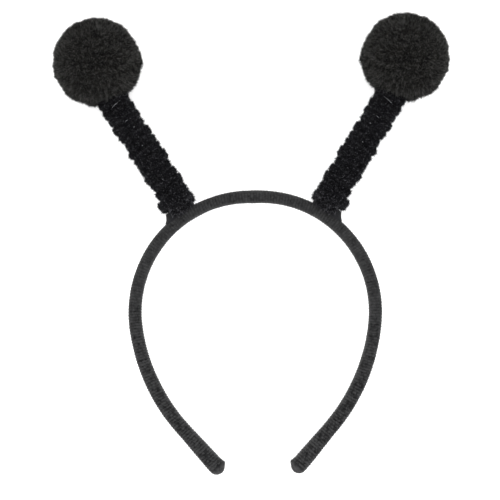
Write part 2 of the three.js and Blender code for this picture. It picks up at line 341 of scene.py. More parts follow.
def ribbedCloth():
    look = ribbedLook
    material, tree, shader = newMaterial("ribbedCloth", clothShine)
    ribs, girth = clothPlace(tree)
    ridge = attributeValue(tree, "ridge")
    plain = attributeValue(tree, "endCloth")
    stitches = threads(tree, girth, look["stitch"], ribs, look["stitchTwist"])
    fuzz = noise(tree, look["fuzzScale"], 3)
    patches = noise(tree, look["patchScale"], 3)
    specks = noise(tree, look["speckScale"], 3)
    # Lightness follows the rib's height: painted shade in the grooves, lighter rib tops
    height = times(tree, ridge, timesPlus(tree, stitches, 0.5, 0.5))
    contrast = remapped(tree, calculated(tree, "ABSOLUTE", ribs), look["calmRibs"], look["contrast"])
    ribShadeStrength = remapped(tree, specks, (0.4, 0.6), look["ribShadeStrength"])
    paintedRibShade = times(tree, minus(tree, height, 0.5), ribShadeStrength)
    mottled = remapped(tree, specks, (0.38, 0.62), look["mottle"])
    lightness = timesPlus(tree, plus(tree, paintedRibShade, mottled), contrast, look["middleTone"])
    lightness = plus(tree, lightness, centred(tree, patches, look["unevenness"]))
    lightness = plus(tree, lightness, centred(tree, fuzz, look["unevenness"]))
    # Painted shade in the pits between the threads
    pitShading = remapped(tree, noise(tree, look["pitScale"], 1), (0.32, 0.4), (look["pitShadeDepth"], 0.0))
    lightness = minus(tree, lightness, times(tree, pitShading, contrast))
    cloth = mixed(tree, lightness, look["groove"], look["ridge"])
    wear = remapped(tree, specks, (0.38, 0.6), (0.0, 1.0))
    worn = mixed(tree, wear, look["endShade"], look["endCloth"])
    roughness = remapped(tree, fuzz, (0.3, 0.7), look["roughness"])
    paint(tree, shader, mixed(tree, plain, cloth, worn), roughness)
    relief = plus(tree, times(tree, height, look["ribRelief"]), times(tree, fuzz, look["fuzzRelief"]))
    raiseSurface(tree, shader, relief, look["bumpStrength"], look["bump"])
    return material


footLook = {
    # Both tones are darker than the band's cloth: the cloth's own tone with painted shade from the first
    # winding over the foot
    "dark": (0.0085, 0.0085, 0.0096, 1),
    "light": (0.0185, 0.0185, 0.0205, 1),
    "thread": 0.45,
    "fuzzScale": 2200,
    "patchScale": 300,
    "weaveShare": 0.5,
    "fuzzShare": 0.6,
    "patchShare": 0.8,
    "roughness": (0.8, 0.98),
    "bump": 0.12,
    "bumpStrength": 0.5,
}


def footCloth():
    look = footLook
    material, tree, shader = newMaterial("footCloth", clothShine)
    first, second = clothPlace(tree)
    weave = times(tree, threads(tree, first, look["thread"]), threads(tree, second, look["thread"]))
    fuzz = noise(tree, look["fuzzScale"], 3)
    patches = noise(tree, look["patchScale"], 2)
    lightness = plus(tree, times(tree, weave, look["weaveShare"]), times(tree, fuzz, look["fuzzShare"]))
    lightness = plus(tree, lightness, centred(tree, patches, look["patchShare"]))
    # The foot's colour carries painted shade from the winding above it
    colour = mixed(tree, lightness, look["dark"], look["light"])
    paint(tree, shader, colour, remapped(tree, fuzz, (0.3, 0.7), look["roughness"]))
    relief = plus(tree, weave, times(tree, fuzz, look["fuzzShare"]))
    raiseSurface(tree, shader, relief, look["bumpStrength"], look["bump"])
    return material


# What both piles have in common
pileTones = {
    "darkest": 0.1,
    "patches": (0.6, 1.3),
    "mattRoot": 4.0,
    "bump": 0.3,
    "bumpStrength": 0.5,
}


# Fibres: dark at their roots as painted shade deep in the pile, lighter at their tips as painted light, and
# each a little different.
# Wisps are lighter still, as a painted rim light
def fibrePile(name, look):
    material, tree, shader = newMaterial(name, {"Specular IOR Level": look["gloss"]})
    tip = attributeValue(tree, "tip")
    shade = attributeValue(tree, "shade")
    patches = noise(tree, look["patchScale"], 3)
    # Painted shade towards the roots, painted light towards the tips
    lightness = calculated(tree, "POWER", tip, look["rise"])
    picked = calculated(tree, "POWER", shade, look["spread"])
    hanging = timesPlus(tree, attributeValue(tree, "droop"), look["hanging"], 1.0)
    lightness = times(tree, lightness, timesPlus(tree, picked, look["shades"], pileTones["darkest"]))
    lightness = times(tree, lightness, remapped(tree, patches, (0.3, 0.7), pileTones["patches"]))
    lightness = times(tree, lightness, hanging)
    colour = mixed(tree, lightness, look["root"], look["tipColour"])
    # Painted rim light: wisps lighten towards their tips
    colour = mixed(tree, times(tree, attributeValue(tree, "wisp"), tip), colour, look["wispColour"])
    tinted = remapped(tree, patches, (0.35, 0.65), (0.0, look["tint"]))
    colour = mixed(tree, tinted, colour, look["tintColour"])
    onFibre = calculated(tree, "MINIMUM", times(tree, tip, pileTones["mattRoot"]), 1.0)
    smoother = times(tree, onFibre, remapped(tree, shade, (0.0, 1.0), (1.0 - look["rough"], 0.0)))
    paint(tree, shader, colour, minus(tree, 1.0, smoother))
    grain = noise(tree, look["grainScale"], 2)
    raiseSurface(tree, shader, grain, pileTones["bumpStrength"], pileTones["bump"])
    return material


chenilleLook = {
    # The root colour is painted shade, the tip colour painted light
    "root": (0.0045, 0.0045, 0.005, 1),
    "tipColour": (0.078, 0.078, 0.084, 1),
    "wispColour": (0.03, 0.03, 0.033, 1),
    "rise": 1.6,
    "spread": 3.0,
    "shades": 2.0,
    "hanging": 1.3,
    "tintColour": (0.012, 0.012, 0.016, 1),
    "tint": 0.2,
    "gloss": 0.0,
    "rough": 0.5,
    "patchScale": 260,
    "grainScale": 2500,
}

pompomLook = {
    # The root colour is painted shade, the tip colour painted light
    "root": (0.004, 0.004, 0.004, 1),
    "tipColour": (0.068, 0.0677, 0.066, 1),
    # The wisps' colour is a painted rim light round the ball
    "wispColour": (0.17, 0.168, 0.16, 1),
    "rise": 1.0,
    "spread": 1.0,
    "shades": 0.9,
    "hanging": 0.0,
    "tintColour": (0.03, 0.029, 0.024, 1),
    "tint": 0.2,
    "gloss": 0.05,
    "rough": 0.7,
    "patchScale": 330,
    "grainScale": 2200,
}


steelLook = {
    "dark": (0.3, 0.31, 0.33, 1),
    "light": (0.62, 0.63, 0.65, 1),
    "streakScale": 900,
    "roughness": (0.2, 0.4),
    "bump": 0.05,
    "bumpStrength": 0.2,
}


def steel():
    look = steelLook
    material, tree, shader = newMaterial("steelWire", {"Metallic": 1.0})
    streaks = noise(tree, look["streakScale"], 3)
    roughness = remapped(tree, streaks, (0.3, 0.7), look["roughness"])
    paint(tree, shader, mixed(tree, streaks, look["dark"], look["light"]), roughness)
    raiseSurface(tree, shader, streaks, look["bumpStrength"], look["bump"])
    return material


looks = {
    "ribbed": ribbedCloth(),
    "foot": footCloth(),
    "chenille": fibrePile("chenillePile", chenilleLook),
    "pompom": fibrePile("pompomFibre", pompomLook),
    "wire": steel(),
}
print("materials made")


# The hoop's centreline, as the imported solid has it: a short straight stretch over the head,
# a round crown, two gentler legs and their straight ends
hoop = {
    "middleReach": 3,
    "crownFlat": 5,
    "crownRadius": 59.4,
    "crownSweep": 96.5,
    "legRadius": 97,
    "legLength": 58.2,
    "tailLength": 30.6,
}
crownLength = hoop["crownRadius"] * math.radians(hoop["crownSweep"])
halfLength = hoop["crownFlat"] / 2 + crownLength + hoop["legLength"] + hoop["tailLength"]


# Both ends of a stalk's post, lowest first
def postEnds(sideName):
    places = vertexPlaces(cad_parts[f"stalk_core_{sideName}"].data)
    places = np.unique(places.round(6), axis=0)
    upper = places[:, 1] > places[:, 1].mean()
    return places[~upper].mean(axis=0), places[upper].mean(axis=0)


# How the hoop lies in the frame: its plane holds both posts
posts = {name: postEnds(name) for name in sides}
leans = {name: (top - low) / np.linalg.norm(top - low) for name, (low, top) in posts.items()}
front = np.cross(leans["right"], leans["left"])
front /= np.linalg.norm(front)
upwards = np.cross(front, across)
bandPlaces = np.unique(vertexPlaces(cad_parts["band"].data).round(6), axis=0)
crownTop = bandPlaces[np.abs(bandPlaces[:, 0]) < hoop["middleReach"] * mm].mean(axis=0)
hoopOrigin = crownTop - upwards * hoop["crownRadius"] * mm


# Points in the hoop's own plane, in millimetres, as places in the frame
def placed(points):
    points = np.asarray(points, float) * mm
    return hoopOrigin + points[..., :1] * across + points[..., 1:2] * upwards + points[..., 2:] * front


# Place and outward direction of the centreline, at distances from the crown's top
def hoopLine(distance):
    side = np.where(distance < 0, -1.0, 1.0)
    run = np.abs(distance) - hoop["crownFlat"] / 2
    turnCrown = np.clip(run, 0, crownLength) / hoop["crownRadius"]
    turn = turnCrown + np.clip(run - crownLength, 0, hoop["legLength"]) / hoop["legRadius"]
    tail = np.maximum(run - crownLength - hoop["legLength"], 0)
    x = np.minimum(run, 0) + hoop["crownFlat"] / 2 + hoop["crownRadius"] * np.sin(turnCrown)
    x = x + hoop["legRadius"] * (np.sin(turn) - np.sin(turnCrown)) + tail * np.cos(turn)
    y = hoop["crownRadius"] * np.cos(turnCrown) - tail * np.sin(turn)
    y = y + hoop["legRadius"] * (np.cos(turn) - np.cos(turnCrown))
    flat = np.zeros_like(turn)
    outward = np.stack([side * np.sin(turn), np.cos(turn), flat], axis=-1)
    return np.stack([side * x, y, flat], axis=-1), outward


# The hoop's cover: ribs across a padded band, with a smooth fold of cloth over each end
band = {
    "thickness": 6.4,
    "depth": 9,
    "squareness": 0.72,
    "girthSides": 40,
    "girth": 25,
    "ribPitch": 1.5,
    "ribHeight": 0.22,
    "ribRound": 2.5,
    "ribUneven": (0.75, 1.2),
    "ribSeed": 7,
    "ringsPerRib": 4,
    "endRun": 3.84,
    "endFullness": 1.75,
    "endFold": 4.5,
    "endBlend": 1.5,
    "foldRings": 11,
    "bluntest": 0.985,
    "nibPlace": 3.1,
    "nibReach": 0.85,
    "nibRun": 1.6,
    "puckerSize": 11,
    "puckerHeight": 0.3,
    "seed": 3,
}
bandSections = [
    {"along": 0.0, "thick": 1.0, "deep": 1.0},
    {"along": 0.11, "thick": 0.95, "deep": 0.98},
    {"along": 0.3, "thick": 1.0, "deep": 1.0},
    {"along": 0.6, "thick": 1.02, "deep": 1.0},
    {"along": 0.7, "thick": 1.08, "deep": 1.01},
    {"along": 0.86, "thick": 1.09, "deep": 1.02},
    {"along": 0.93, "thick": 1.22, "deep": 1.04},
    {"along": 1.0, "thick": 1.3, "deep": 1.04},
]


def bandRings(distance, size):
    place, outward = hoopLine(distance)
    share = np.abs(distance) / halfLength
    thick = band["thickness"] / 2 * tableValue(bandSections, "along", share, "thick") * size
    deep = band["depth"] / 2 * tableValue(bandSections, "along", share, "deep") * size
    angle = (np.arange(band["girthSides"]) + 0.5) / band["girthSides"] * 2 * math.pi
    out = (np.sign(np.cos(angle)) * np.abs(np.cos(angle)) ** band["squareness"])[None] * thick[:, None]
    fore = (np.sign(np.sin(angle)) * np.abs(np.sin(angle)) ** band["squareness"])[None] * deep[:, None]
    toEnd = halfLength - np.abs(distance)
    fromNib = toEnd - band["nibPlace"]
    nib = np.exp(-(fromNib / np.where(fromNib > 0, band["nibRun"], 1.0)) ** 2)
    nib = nib[:, None] * np.clip(-np.cos(angle), 0, 1)[None] ** 3
    points = place[:, None] + outward[:, None] * (out - nib * band["nibReach"])[..., None]
    points[..., 2] += fore
    return points


def bandTree():
    tree, given = newTree("ribsAcrossTheHoop", {
        "Rib height": "Float",
        "Pucker size": "Float",
        "Pucker height": "Float",
        "Seed": "Float",
        "Finish": "Material",
    })
    along = storedValue(tree, "ribs")
    place = calculated(tree, "FRACT", along)
    fromMiddle = calculated(tree, "ABSOLUTE", timesPlus(tree, place, 2.0, -1.0))
    profile = minus(tree, 1.0, calculated(tree, "POWER", fromMiddle, band["ribRound"]))
    ridge = times(tree, profile, storedValue(tree, "ribbed"))
    rib = calculated(tree, "FLOOR", along)
    uneven = randomValue(tree, *band["ribUneven"], band["ribSeed"], ID=rib)
    height = times(tree, times(tree, ridge, uneven), given["Rib height"])
    lift = plus(tree, height, noiseLift(tree, given, "Pucker", {"Detail": 2.0}))
    kept = withAttribute(tree, given["Geometry"], "ridge", ridge)
    endTree(tree, lifted(tree, kept, lift), given["Finish"])
    return tree


def makeBand():
    ribbedHalf = halfLength - band["endFold"]
    ribCount = round(ribbedHalf / band["ribPitch"])
    steps = ribCount * band["ringsPerRib"]
    ribbedPart = np.arange(-steps, steps + 1) * ribbedHalf / steps
    fold = np.linspace(0, 1, band["foldRings"] + 1)[1:]
    endPart = ribbedHalf + band["endFold"] * np.sin(fold * math.pi / 2)
    distance = np.concatenate([-endPart[::-1], ribbedPart, endPart])
    toEnd = halfLength - np.abs(distance)
    rounding = np.clip(1 - toEnd / band["endRun"], 0, band["bluntest"])
    rings = bandRings(distance, np.sqrt(1 - rounding ** band["endFullness"]))
    ribs = distance / ribbedHalf * ribCount
    girthAt = np.arange(band["girthSides"] + 1) / band["girthSides"] * band["girth"]
    mesh = loftedMesh("band_cover", placed(rings), ribs, girthAt)
    endCloth = np.clip((np.abs(distance) - ribbedHalf) / band["endBlend"], 0, 1)
    repeat = band["girthSides"]
    setAttribute(mesh, "ribs", np.repeat(ribs, repeat))
    setAttribute(mesh, "ribbed", np.repeat(endCloth == 0, repeat))
    setAttribute(mesh, "endCloth", np.repeat(endCloth, repeat))
    piece = grow(newObject("band_cover", mesh), bandTree(), {
        "Rib height": band["ribHeight"] * mm,
        "Pucker size": band["puckerSize"] * mm,
        "Pucker height": band["puckerHeight"] * mm,
        "Seed": band["seed"],
        "Finish": looks["ribbed"],
    })
    restOnFloor(piece)
    finishPiece(piece, "ribbed_cloth", "band")


makeBand()


# The cloth boss under a stalk
foot = {
    "width": 13.8,
    "shift": 0.9,
    "flareOutside": 3.0,
    "flareInside": 1.0,
    "hollow": 1.6,
    "depth": 8.4,
    "endDepth": 0.86,
    "hem": 0.35,
    "hemLip": 0.4,
    "crown": 2.6,
    "bedMargin": 0.6,
    "threadStep": 0.6,
    "sections": 72,
    "arcSteps": 14,
}

# An antenna's own frame: x outwards along the hoop, y up the stalk, z to the front, in
# millimetres from the place on the hoop's centreline where the stalk stands. The left antenna
# is made in it, and the right one is its mirror image
stalk = {
    "station": 32.9,
    "lean": 31.5,
    "reach": 91.6,
    "pompomShift": 3.8,
    "radius": 7.9,
    "coreRadius": 0.9,
    "windingPitch": 5,
    "windingStart": 240,
    "coilSink": 4.7,
    "clearance": 0.3,
    "footFloor": 0.5,
    "footHeight": 3.5,
}
pompomRadius = 23
footDistance = hoop["crownFlat"] / 2 + hoop["crownRadius"] * math.radians(stalk["station"])
footPoint = hoopLine(np.array([footDistance]))[0][0]
bandFace = band["thickness"] / 2 * tableValue(bandSections, "along", footDistance / halfLength, "thick")
pompomUnderside = stalk["reach"] - pompomRadius
coilBottom = bandFace + stalk["clearance"] + stalk["footFloor"] + stalk["clearance"]
coilTop = pompomUnderside + stalk["coilSink"]
strandHeight = stalk["windingPitch"] - stalk["clearance"]
turns = (coilTop - coilBottom - strandHeight) / stalk["windingPitch"]


def antennaPlaced(points):
    points = np.asarray(points, float)
    lean = math.radians(stalk["lean"])
    x = footPoint[0] + points[..., 0] * math.cos(lean) + points[..., 1] * math.sin(lean)
    y = footPoint[1] - points[..., 0] * math.sin(lean) + points[..., 1] * math.cos(lean)
    return placed(np.stack([-x, y, points[..., 2]], axis=-1))


# The layers of a pile, in the order in which they are joined
pileLayers = [
    {"kind": "Locks", "key": "lock", "corners": 5, "seed": 60},
    {"kind": "Fibres", "key": "fibre", "corners": 3, "seed": 10},
    {"kind": "Wisps", "key": "wisp", "corners": 3, "seed": 110},
]
pileShape = {
    "tuftRange": (0.36, 0.64),
    "tuftShortest": 0.4,
    "tuftLonger": 0.8,
    "hang": 1.2,
    "hangLonger": 0.5,
    "widths": (0.7, 1.3),
}


# One layer of the pile: tapering fibres, thicker locks of them, or thin wisps, at random spots
# of a surface. They lean together in tufts, and where droop is set they hang and are longer
def pileLayer(tree, given, kind, corners, seed):
    longest = given[f"{kind} length"]
    spots = add(tree, "GeometryNodeDistributePointsOnFaces", {
        "Mesh": given["Geometry"],
        "Density": times(tree, storedValue(tree, "cover"), given[f"{kind} per square metre"]),
        "Seed": plus(tree, given["Seed"], float(seed)),
    })
    droop = storedValue(tree, "droop")
    tufts = add(tree, "ShaderNodeTexNoise", {
        "Vector": add(tree, "GeometryNodeInputPosition").outputs[0],
        "Scale": calculated(tree, "DIVIDE", 1.0, given["Tuft size"]),
        "Detail": 1.0,
    })
    together = vectorOf(tree, "SUBTRACT", tufts.outputs["Color"], (0.5, 0.5, 0.5))
    sway = add(tree, "FunctionNodeRandomValue", {0: (-1, -1, -1), 1: (1, 1, 1), "Seed": seed + 1},
               data_type="FLOAT_VECTOR").outputs[0]
    heading = vectorOf(tree, "ADD", spots.outputs["Normal"], scaled(tree, sway, given["Stray"]))
    heading = vectorOf(tree, "ADD", heading, scaled(tree, together, given["Tuft lean"]))
    hanging = scaled(tree, given["Down"], times(tree, droop, pileShape["hang"]))
    heading = vectorOf(tree, "ADD", heading, hanging)
    fibre = add(tree, "GeometryNodeMeshCone", {
        "Vertices": corners,
        "Radius Top": 0.0,
        "Radius Bottom": times(tree, given[f"{kind} width"], 0.5),
        "Depth": longest,
    }, fill_type="NGON").outputs[0]
    where = add(tree, "GeometryNodeInputPosition").outputs[0]
    height = add(tree, "ShaderNodeSeparateXYZ", {0: where}).outputs[2]
    tipped = withAttribute(tree, fibre, "tip", calculated(tree, "DIVIDE", height, longest))
    inTuft = remapped(tree, tufts.outputs[0], pileShape["tuftRange"], (0.0, 1.0))
    inTuftLength = timesPlus(tree, inTuft, pileShape["tuftLonger"], pileShape["tuftShortest"])
    length = randomValue(tree, given["Shortest"], 1.0, seed + 2)
    length = times(tree, length, inTuftLength)
    length = times(tree, length, timesPlus(tree, droop, pileShape["hangLonger"], 1.0))
    width = randomValue(tree, *pileShape["widths"], seed + 3)
    fibres = add(tree, "GeometryNodeInstanceOnPoints", {
        "Points": spots.outputs["Points"],
        "Instance": tipped,
        "Rotation": add(tree, "FunctionNodeAlignRotationToVector", {"Vector": heading}, axis="Z").outputs[0],
        "Scale": add(tree, "ShaderNodeCombineXYZ", {0: width, 1: width, 2: length}).outputs[0],
    }).outputs[0]
    odd = randomValue(tree, 0.0, given["Odd shades"], seed + 4)
    shade = timesPlus(tree, inTuft, minus(tree, 1.0, given["Odd shades"]), odd)
    shaded = withAttribute(tree, fibres, "shade", shade, "INSTANCE")
    return withAttribute(tree, shaded, "wisp", float(kind == "Wisps"), "INSTANCE")


def pileTree():
    measures = ("per square metre", "length", "width")
    tree, given = newTree("pileOfFibres", {
        **{f"{layer['kind']} {measure}": "Float" for layer in pileLayers for measure in measures},
        "Stray": "Float",
        "Tuft size": "Float",
        "Tuft lean": "Float",
        "Shortest": "Float",
        "Odd shades": "Float",
        "Down": "Vector",
        "Seed": "Int",
        "Finish": "Material",
    })
    joined = add(tree, "GeometryNodeJoinGeometry")
    for layer in pileLayers:
        grown = pileLayer(tree, given, layer["kind"], layer["corners"], layer["seed"])
        tree.links.new(grown, joined.inputs[0])
    tree.links.new(given["Geometry"], joined.inputs[0])
    endTree(tree, joined.outputs[0], given["Finish"])
    return tree


def growPile(piece, tree, pile, finish, down=(0, 0, 0)):
    values = {
        "Stray": pile["stray"],
        "Tuft size": pile["tuftSize"] * mm,
        "Tuft lean": pile["tuftLean"],
        "Shortest": pile["shortest"],
        "Odd shades": pile["oddShades"],
        "Down": list(down),
        "Seed": pile["seed"],
        "Finish": finish,
    }
    for layer in pileLayers:
        kind, key = layer["kind"], layer["key"]
        values[f"{kind} per square metre"] = pile[f"{key}sPerSquareMm"] / mm ** 2
        values[f"{kind} length"] = pile[f"{key}Length"] * mm
        values[f"{kind} width"] = pile[f"{key}Width"] * mm
    grow(piece, tree, values)


# Soft lumps raised on a surface
def lumpTree():
    tree, given = newTree("softLumps", {
        "Lump size": "Float",
        "Lump height": "Float",
        "Roughness": "Float",
        "Seed": "Float",
        "Finish": "Material",
    })
    lift = noiseLift(tree, given, "Lump", {"Detail": 3.0, "Roughness": given["Roughness"]})
    endTree(tree, lifted(tree, given["Geometry"], lift), given["Finish"])
    return tree


def growLumps(piece, tree, pile, finish):
    return grow(piece, tree, {
        "Lump size": pile["lumpSize"] * mm,
        "Lump height": pile["lumpHeight"] * mm,
        "Roughness": pile["lumpRoughness"],
        "Seed": pile["seed"],
        "Finish": finish,
    })


# The chenille stem, wound in a close helix round the post
chenille = {
    "ringsPerTurn": 64,
    "sides": 20,
    "squareness": 0.36,
    "pileDepth": 0.95,
    "grooveDepth": 0.5,
    "grooveVariation": 0.9,
    "grooveReach": 0.8,
    "overlap": 0.2,
    "bareWalls": 0.4,
    "thinnestEnd": 0.02,
    "upturn": 0.13,
    "unevenness": 0.22,
    "swellBeats": (0.43, 1.37, 3.61),
    "grooveBeats": (0.31, 0.83, 1.71),
    "lumpSize": 3.4,
    "lumpHeight": 2.8,
    "lumpRoughness": 0.8,
    "firstTurnSag": 3.0,
    "sagTurns": 0.62,
    "sagEase": 0.35,
    "sagMargin": 0.4,
    "outerTurns": (0.55, 1.35),
    "outerSag": 3.0,
    "outerFill": 0.8,
    "droopTurns": 1.4,
    "droopShare": 0.5,
    "waver": 0.8,
    "waverBeats": (2.3, 4.9, 7.1),
    "wispsPerSquareMm": 1.9,
    "wispLength": 3.1,
    "wispWidth": 0.17,
    "fibresPerSquareMm": 5.2,
    "fibreLength": 1.9,
    "fibreWidth": 0.3,
    "locksPerSquareMm": 1.2,
    "lockLength": 2.0,
    "lockWidth": 0.95,
    "shortest": 0.5,
    "stray": 0.45,
    "tuftSize": 1.0,
    "tuftLean": 1.6,
    "oddShades": 0.8,
    "leadTurns": 0.06,
    "roundedTurns": 0.1,
    "tuckedTurns": 0.4,
    "seed": 41,
}
windingSwell = [
    {"at": 0.0, "swell": 1.2, "over": -0.3},
    {"at": 0.085, "swell": 1.12, "over": -0.35},
    {"at": 0.155, "swell": 1.0, "over": 1.0},
    {"at": 0.21, "swell": 1.06, "over": 0.9},
    {"at": 0.29, "swell": 1.02, "over": 0.1},
    {"at": 0.365, "swell": 1.04, "over": 0.1},
    {"at": 0.44, "swell": 1.07, "over": 0.7},
    {"at": 0.535, "swell": 1.04, "over": 0.0},
    {"at": 0.63, "swell": 1.02, "over": 0.65},
    {"at": 0.72, "swell": 1.03, "over": 0.0},
    {"at": 0.8, "swell": 1.04, "over": -0.3},
    {"at": 0.877, "swell": 1.03, "over": 0.3},
    {"at": 0.935, "swell": 1.02, "over": 0.0},
    {"at": 1.0, "swell": 1.02, "over": 0.0},
]


# Centre of the wound strand, its outward direction and its half reach, at turns round the post
def strandLine(turn):
    angle = np.radians(stalk["windingStart"]) + turn * 2 * math.pi
    swell = tableValue(windingSwell, "at", turn / turns, "swell")
    over = tableValue(windingSwell, "at", turn / turns, "over") * np.cos(angle)
    inner = stalk["coreRadius"] + stalk["clearance"]
    halfReach = (stalk["radius"] * swell + over - inner) / 2
    height = coilBottom + strandHeight / 2 + turn * stalk["windingPitch"]
    outward = np.stack([-np.cos(angle), np.zeros_like(angle), -np.sin(angle)], axis=-1)
    centre = outward * (inner + halfReach)[..., None]
    centre[..., 1] = height
    return centre, outward, halfReach


# An uneven rise and fall along the strand, from -1 to 1
def unevenAlong(turn, seed, beats):
    return sum(np.sin(2 * math.pi * beat * turn + beat * seed) for beat in beats) / len(beats)


# The first winding sags over the hoop's front and its inner side, clear of the boss
def sagged(points, turn):
    pitch = stalk["windingPitch"]
    early = np.clip(1 - turn / chenille["sagTurns"], 0, 1) ** chenille["sagEase"]
    overFront = points[..., 2] - band["depth"] / 2 - chenille["sagMargin"]
    overInside = -points[..., 0] - foot["width"] / 2 + foot["shift"] - chenille["sagMargin"]
    clear = np.maximum(overFront, overInside)
    start, end = chenille["outerTurns"]
    later = np.clip(np.minimum((turn - start) * pitch, (end - turn) * pitch), 0, chenille["outerSag"])
    sag = np.maximum(chenille["firstTurnSag"] * early[:, None] * np.clip(clear, 0, 1), later[:, None])
    middle = points[..., 1].mean(axis=1, keepdims=True)
    under = np.clip((middle - points[..., 1]) / (strandHeight / 2), 0, 1)
    points[..., 1] -= sag * under
    outside = np.clip(points[..., 0] / stalk["radius"], 0, 1) ** 2
    points[..., 0] += chenille["outerFill"] * later[:, None] / chenille["outerSag"] * under * outside
    return points, np.clip(sag * under / chenille["firstTurnSag"], 0, 1)


def makeChenille(lump, pile):
    seed = chenille["seed"]
    tucked = turns + chenille["tuckedTurns"]
    first = -chenille["leadTurns"]
    turn = np.linspace(first, tucked, round((tucked - first) * chenille["ringsPerTurn"]) + 1)
    centre, outward, halfReach = strandLine(turn)
    centre[:, 1] = np.minimum(centre[:, 1], coilTop - strandHeight / 2)
    fromEnd = np.minimum((turn - first) / chenille["roundedTurns"], (tucked - turn) / chenille["tuckedTurns"])
    size = np.sqrt(1 - (1 - np.clip(fromEnd, chenille["thinnestEnd"], 1)) ** 2)
    swelling = 1 + chenille["unevenness"] * unevenAlong(turn, seed, chenille["swellBeats"])
    reach = (halfReach * swelling - chenille["pileDepth"]) * size
    around = np.arange(chenille["sides"]) / chenille["sides"] * 2 * math.pi
    out = np.sign(np.cos(around)) * np.abs(np.cos(around)) ** chenille["squareness"]
    up = np.sign(np.sin(around)) * np.abs(np.sin(around)) ** chenille["squareness"]
    shelf = 1 + chenille["upturn"] * up * (out > 0)
    points = centre[:, None] + outward[:, None] * (reach[:, None] * (out * shelf)[None])[..., None]
    variation = chenille["grooveVariation"] * unevenAlong(turn, seed + 1, chenille["grooveBeats"])
    groove = chenille["grooveDepth"] * (1 + variation)
    overlap = chenille["overlap"]
    atGroove = np.clip(out * 2 + chenille["grooveReach"], 0, 1)
    rise = strandHeight / 2 + overlap - (groove[:, None] + overlap) * atGroove[None]
    points[..., 1] += size[:, None] * rise * up[None]
    waver = chenille["waver"] * unevenAlong(turn, seed + 2, chenille["waverBeats"])
    points[..., 1] += (waver * np.clip(turn - 1, 0, 1))[:, None] * np.clip(out, 0, 1)[None]
    points, sag = sagged(points, turn)
    girthAt = np.arange(chenille["sides"] + 1) / chenille["sides"]
    mesh = loftedMesh("chenille_pile_left", antennaPlaced(points), turn, girthAt)
    setAttribute(mesh, "cover", np.tile(np.clip(out * 2 - chenille["bareWalls"], 0, 1), len(turn)))
    firstTurn = np.clip(chenille["droopTurns"] - turn, 0, 1)
    low = firstTurn[:, None] * np.clip(out * 2 - up, 0, 1)[None] * chenille["droopShare"]
    setAttribute(mesh, "droop", np.maximum(sag, low))
    below, above = antennaPlaced([[0, 0, 0], [0, 1, 0]])
    piece = growLumps(newObject(mesh.name, mesh), lump, chenille, looks["chenille"])
    growPile(piece, pile, chenille, looks["chenille"], (below - above) / mm)
    finishBoth(piece, "chenille_pile", "chenille", "chenille")


# The pompom: a trimmed ball of short fibre with a seat for the stalk and a bore for its post
pompom = {
    "coarseFaces": 2,
    "finerSteps": 3,
    "lumpSize": 7,
    "lumpHeight": 3.2,
    "lumpRoughness": 0.6,
    "pileDepth": 0.82,
    "facetShare": 0.85,
    "wispsPerSquareMm": 1.6,
    "wispLength": 3.6,
    "wispWidth": 0.13,
    "fibresPerSquareMm": 5.1,
    "fibreLength": 2.5,
    "fibreWidth": 0.27,
    "locksPerSquareMm": 0.6,
    "lockLength": 2.1,
    "lockWidth": 1.2,
    "shortest": 0.3,
    "stray": 0.35,
    "tuftSize": 2.0,
    "tuftLean": 2.0,
    "oddShades": 0.35,
    "tuftReach": 1.9,
    "tuftWidth": 2.6,
    "coreSink": 10,
    "rodSides": 40,
    "seatMargin": 1.01,
    "seed": 5,
}


# A plain round rod up the stalk's axis, to cut with
def rod(name, radius, top):
    count = pompom["rodSides"]
    angle = np.arange(count) / count * 2 * math.pi
    ring = np.stack([radius * np.cos(angle), np.zeros(count), radius * np.sin(angle)], axis=-1)
    rings = antennaPlaced(np.stack([ring, ring + [0, top, 0]]))
    return newObject(name, loftedMesh(name, rings, np.array([0.0, 1.0]), np.arange(count + 1.0)))


def cutAway(piece, cutters):
    for cutter in cutters:
        modifier = piece.modifiers.new(cutter.name, "BOOLEAN")
        modifier.operation = "DIFFERENCE"
        modifier.solver = "EXACT"
        modifier.object = cutter
    applyModifiers(piece)
    for cutter in cutters:
        bpy.data.objects.remove(cutter)


# A ball whose skin lies partly on the flat faces of a coarse one, as shears leave it, with
# one tuft that stands out on its inner side
def softFacetedBall(name, centre, radius):
    bpy.ops.mesh.primitive_ico_sphere_add(subdivisions=pompom["coarseFaces"], radius=radius)
    piece = bpy.context.object
    piece.name = name
    finer = piece.modifiers.new("finer", "SUBSURF")
    finer.subdivision_type = "SIMPLE"
    finer.levels = finer.render_levels = pompom["finerSteps"]
    applyModifiers(piece)
    flat = vertexPlaces(piece.data)
    length = np.linalg.norm(flat, axis=1, keepdims=True)
    outwards = flat / length
    reach = length * pompom["facetShare"] + radius * (1 - pompom["facetShare"])
    fromTuft = np.linalg.norm(outwards - across, axis=1, keepdims=True) * radius
    reach = reach + pompom["tuftReach"] * mm * np.exp(-(fromTuft / (pompom["tuftWidth"] * mm)) ** 2)
    setPlaces(piece.data, centre + outwards * reach)
    return piece


